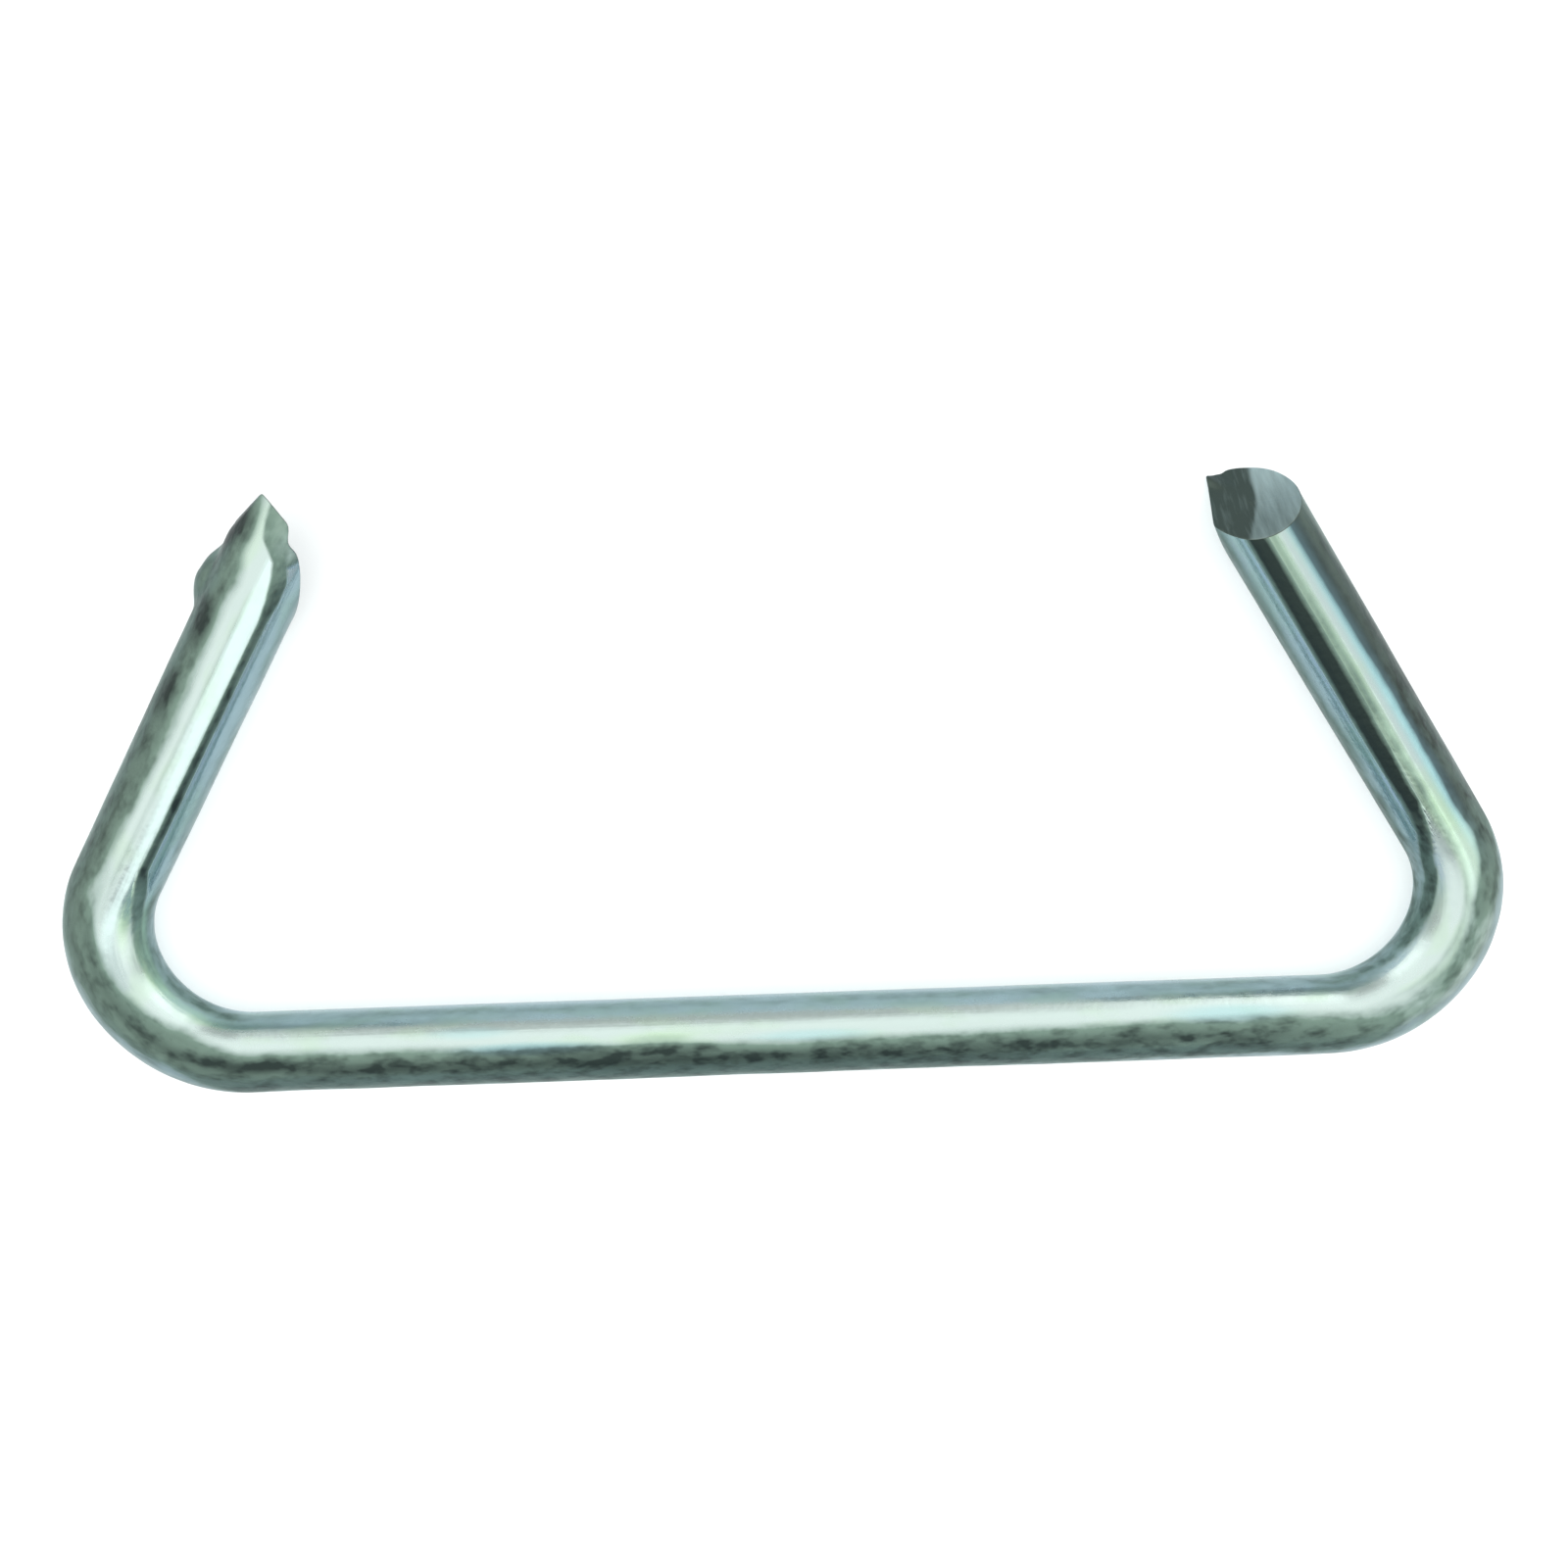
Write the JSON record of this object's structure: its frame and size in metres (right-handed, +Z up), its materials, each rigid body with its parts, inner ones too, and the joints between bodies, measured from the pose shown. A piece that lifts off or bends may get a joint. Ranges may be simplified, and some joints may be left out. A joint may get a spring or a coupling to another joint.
{
  "type": "hog ring",
  "caption": "Open D-shaped ring of round plated steel wire, with leaning legs and sheared points, closed with pliers to clamp fabric, netting or mesh to a wire or cord.",
  "frame": {"origin": "bottom centre of the ring's box, as it lies flat", "axes": "+X along the crown, +Y from the crown to the tips, +Z up, square to the ring's plane"},
  "size_m": [0.044, 0.0184, 0.0025],
  "materials": {
    "zinc_plated_steel": "zinc-plated drawn wire, glossy along its inner side and mottled grey-green along its outer side"
  },
  "bodies": {
    "root": {"wire_ring": "zinc_plated_steel"}
  },
  "joints": []
}
